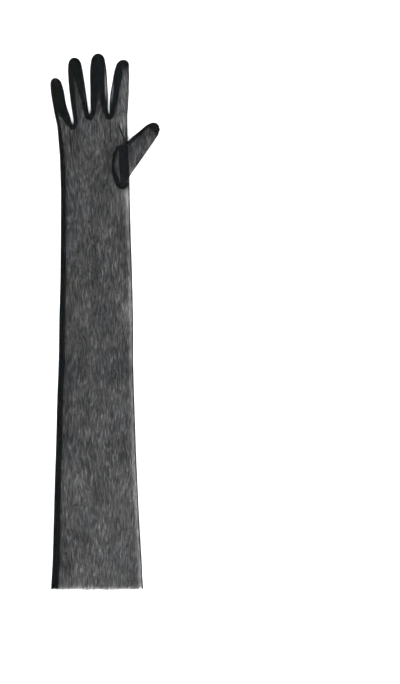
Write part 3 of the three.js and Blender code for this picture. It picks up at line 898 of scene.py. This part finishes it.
def net_material(name, colour, clear, streak, net):
    """Black net that lets light through. clear is the share of light that one face of a ply lets through,
    streak the strength of the moire and net the strength of the weave."""
    material, nodes, links, shader = nodes_of(name)

    def m(kind, a, b=None):
        return math_node(nodes, links, kind, a, b)

    place = nodes.new("ShaderNodeTexCoord").outputs["Object"]

    def streaks(size, length, turn, seed):
        """Soft streaks of a width and length in metres, turned by degrees."""
        mapping = nodes.new("ShaderNodeMapping")
        mapping.inputs["Rotation"].default_value = (0, 0, math.radians(turn))
        mapping.inputs["Scale"].default_value = (1 / size, 1 / length, 0.0)
        mapping.inputs["Location"].default_value = (seed, seed, 0)
        links.new(place, mapping.inputs["Vector"])
        texture = nodes.new("ShaderNodeTexNoise")
        texture.noise_dimensions = "2D"
        texture.inputs["Scale"].default_value = 1.0
        texture.inputs["Detail"].default_value = 1.5
        texture.inputs["Roughness"].default_value = 0.55
        texture.inputs["Distortion"].default_value = 0.35
        links.new(mapping.outputs[0], texture.inputs["Vector"])
        return m("SUBTRACT", texture.outputs["Fac"], 0.5)

    apart = nodes.new("ShaderNodeSeparateXYZ")
    links.new(place, apart.inputs[0])

    def bands(pitch, lean, waver, size, length, seed):
        """Parallel bands at a pitch, leaning along the arm and wavering with soft streaks."""
        tilted = m("ADD", apart.outputs["X"], m("MULTIPLY", apart.outputs["Y"], lean))
        turns = m("ADD", m("DIVIDE", tilted, pitch), m("MULTIPLY", streaks(size, length, 0, seed), waver))
        return m("SINE", m("MULTIPLY", turns, 2 * math.pi))

    dashes = m("ADD", streaks(0.0016, 0.0110, 22, 3.1), streaks(0.0016, 0.0095, -23, 8.7))
    grain = m("ADD", m("MULTIPLY", dashes, 0.85), m("MULTIPLY", streaks(0.0015, 0.0025, 0, 1.7), 0.35))
    leaning_right = bands(0.0038, 0.10, 9.0, 0.018, 0.06, 2.2)
    leaning_left = bands(0.0046, -0.16, 7.0, 0.022, 0.05, 6.4)
    rings = m("MULTIPLY", leaning_right, leaning_left)
    wide = m("ADD", streaks(0.016, 0.07, 0, 5.3), m("MULTIPLY", streaks(0.009, 0.018, 0, 9.9), 0.6))
    palm = nodes.new("ShaderNodeMapRange")
    palm.inputs["From Min"].default_value = PALM_HATCH[0]
    palm.inputs["From Max"].default_value = PALM_HATCH[1]
    links.new(apart.outputs["Y"], palm.inputs["Value"])
    hatch = m("ADD", bands(0.0034, -0.78, 3.0, 0.03, 0.03, 1.3), bands(0.0032, 0.70, 3.0, 0.03, 0.03, 7.7))
    hatch = m("MULTIPLY", m("MULTIPLY", hatch, palm.outputs["Result"]), 0.06)
    figure = m("ADD", m("MULTIPLY", rings, 0.10), hatch)
    moire = m("ADD", m("ADD", grain, figure), m("MULTIPLY", wide, 0.5))

    def strand(turn, pitch):
        """One way of the weave: 0 on a strand and 1 between two strands."""
        mapping = nodes.new("ShaderNodeMapping")
        mapping.inputs["Rotation"].default_value = (0, 0, math.radians(turn))
        links.new(place, mapping.inputs["Vector"])
        turned = nodes.new("ShaderNodeSeparateXYZ")
        links.new(mapping.outputs[0], turned.inputs[0])
        wave = m("SINE", m("MULTIPLY", turned.outputs["X"], math.pi / pitch))
        return m("ABSOLUTE", wave)

    holes = m("MULTIPLY", m("MULTIPLY", strand(33, 0.00085), strand(-33, 0.00085)), 2.4)
    strands = m("SUBTRACT", 1.0, holes)

    more = nodes.new("ShaderNodeAttribute")
    more.attribute_name = "more_plies"
    plies = m("MAXIMUM", m("ADD", more.outputs["Fac"], 1.0), 0.05)
    modulated = m("ADD", m("ADD", m("MULTIPLY", moire, streak), 1.0), m("MULTIPLY", strands, net))
    power = m("MULTIPLY", plies, m("MAXIMUM", modulated, 0.05))
    links.new(m("SUBTRACT", 1.0, m("POWER", clear, power)), shader.inputs["Alpha"])

    tint = nodes.new("ShaderNodeMix")
    tint.data_type = "RGBA"
    tint.inputs["A"].default_value = (colour[0] * 0.85, colour[1] * 0.95, colour[2] * 1.15, 1)
    tint.inputs["B"].default_value = (colour[0] * 1.15, colour[1] * 1.05, colour[2] * 0.85, 1)
    links.new(m("ADD", m("MULTIPLY", streaks(0.02, 0.05, 20, 4.4), 3.0), 0.5), tint.inputs["Factor"])
    links.new(tint.outputs["Result"], shader.inputs["Base Color"])
    shader.inputs["Roughness"].default_value = 0.8
    shader.inputs["Specular IOR Level"].default_value = 0.02
    bump = nodes.new("ShaderNodeBump")
    bump.inputs["Strength"].default_value = 0.25
    bump.inputs["Distance"].default_value = 0.0003
    links.new(strands, bump.inputs["Height"])
    links.new(bump.outputs[0], shader.inputs["Normal"])
    return material


mesh_look = net_material("sheer_net", (0.0058, 0.0062, 0.0068), clear=0.62, streak=0.85, net=0.25)
strip_look = net_material("folded_net", (0.0050, 0.0095, 0.0080), clear=0.59, streak=0.5, net=0.2)
seam_look = net_material("turned_net", (0.0040, 0.0070, 0.0062), clear=0.48, streak=0.4, net=0.2)


def finish_piece(piece, look, slot, *replaced):
    """Gives a piece its look and its body, and hides the plain nodes that it stands for. slot is not used."""
    piece.data.materials.append(look)
    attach(piece, "root")
    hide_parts(*replaced)


FINGER_FRONTS = [name + "_front" for name in NAMES]
HAND_NODES = ["back_side", "arm_front", "palm_front", *FINGER_FRONTS, "thumb_side_fold"]
SIDE_NODES = ["side_seam", "little_finger_seam"]

finish_piece(hand_sheet().object("hand_and_arm_net"), mesh_look, "mesh", *HAND_NODES)
finish_piece(thumb_sheet().object("thumb_net"), mesh_look, "mesh", "thumb_base", "thumb")
for name, strip in STRIPS.items():
    finish_piece(fourchette_sheet(strip).object(name + "_net"), strip_look, "strip", name)
finish_piece(side_seam_sheet().object("side_seam_net"), seam_look, "seam", *SIDE_NODES)
for name in NAMES:
    node = name + "_tip_seam"
    finish_piece(tip_seam_sheet(name).object(node + "_net"), seam_look, "seam", node)
finish_piece(thumb_edge_sheet().object("thumb_edge_seam_net"), seam_look, "seam", "thumb_edge_seam")
finish_piece(welt_sheet().object("thumb_welt_net"), seam_look, "seam", "thumb_welt")


# Floor, light and camera

FLOOR_REACH = 6.0
MIDDLE_HEIGHT = 0.005  # metres above the floor at which the picture's scale holds


def picture_place(px, py):
    """The place in the model's frame, in metres, of a pixel of the photograph."""
    x = (px - PHOTO["axis_px"]) * PHOTO["mm_per_pixel"]
    y = (PHOTO["cuff_px"] - py) * PHOTO["mm_per_pixel"]
    return Vector(((x + SHIFT[0]) / 1000, (y + SHIFT[1]) / 1000, 0))


middle = picture_place(PHOTO["width"] / 2, PHOTO["height"] / 2)

floor_mesh = bpy.data.meshes.new("floor")
corners = [(x * FLOOR_REACH, y * FLOOR_REACH, 0) for x, y in ((-1, -1), (1, -1), (1, 1), (-1, 1))]
floor_mesh.from_pydata(corners, [], [(0, 1, 2, 3)])
floor = bpy.data.objects.new("floor", floor_mesh)
bpy.context.scene.collection.objects.link(floor)
paper, _, _, paper_shader = nodes_of("white_paper")
paper_shader.inputs["Base Color"].default_value = (0.93, 0.93, 0.93, 1)
paper_shader.inputs["Roughness"].default_value = 0.9
paper_shader.inputs["Specular IOR Level"].default_value = 0.1
floor_mesh.materials.append(paper)


def area_light(name, place, size, power):
    light = bpy.data.lights.new(name, "AREA")
    light.shape = "DISK"
    light.size = size
    light.energy = power
    lamp = bpy.data.objects.new(name, light)
    lamp.location = place
    lamp.rotation_mode = "QUATERNION"
    lamp.rotation_quaternion = (Vector((middle.x, middle.y, 0)) - Vector(place)).to_track_quat("-Z", "Y")
    bpy.context.scene.collection.objects.link(lamp)


area_light("soft_left", (-1.6, 1.2, 2.6), 2.2, 100)
area_light("soft_right", (1.9, -0.6, 2.8), 2.4, 88)
world = bpy.data.worlds.new("studio")
world.use_nodes = True
world.node_tree.nodes["Background"].inputs["Color"].default_value = (1, 1, 1, 1)
world.node_tree.nodes["Background"].inputs["Strength"].default_value = 1.6
bpy.context.scene.world = world

camera_data = bpy.data.cameras.new("camera")
camera_data.lens = 135
camera_data.sensor_width = 36
camera = bpy.data.objects.new("camera", camera_data)
tall = PHOTO["height"] * PHOTO["mm_per_pixel"] / 1000
camera.location = (middle.x, middle.y, tall * camera_data.lens / camera_data.sensor_width + MIDDLE_HEIGHT)
camera.rotation_euler = (0, 0, 0)
camera_data.clip_end = 20
bpy.context.scene.collection.objects.link(camera)
bpy.context.scene.camera = camera

bpy.context.scene.cycles.transparent_max_bounces = 64
bpy.context.scene.view_settings.view_transform = "Standard"
bpy.context.scene.view_settings.look = "None"
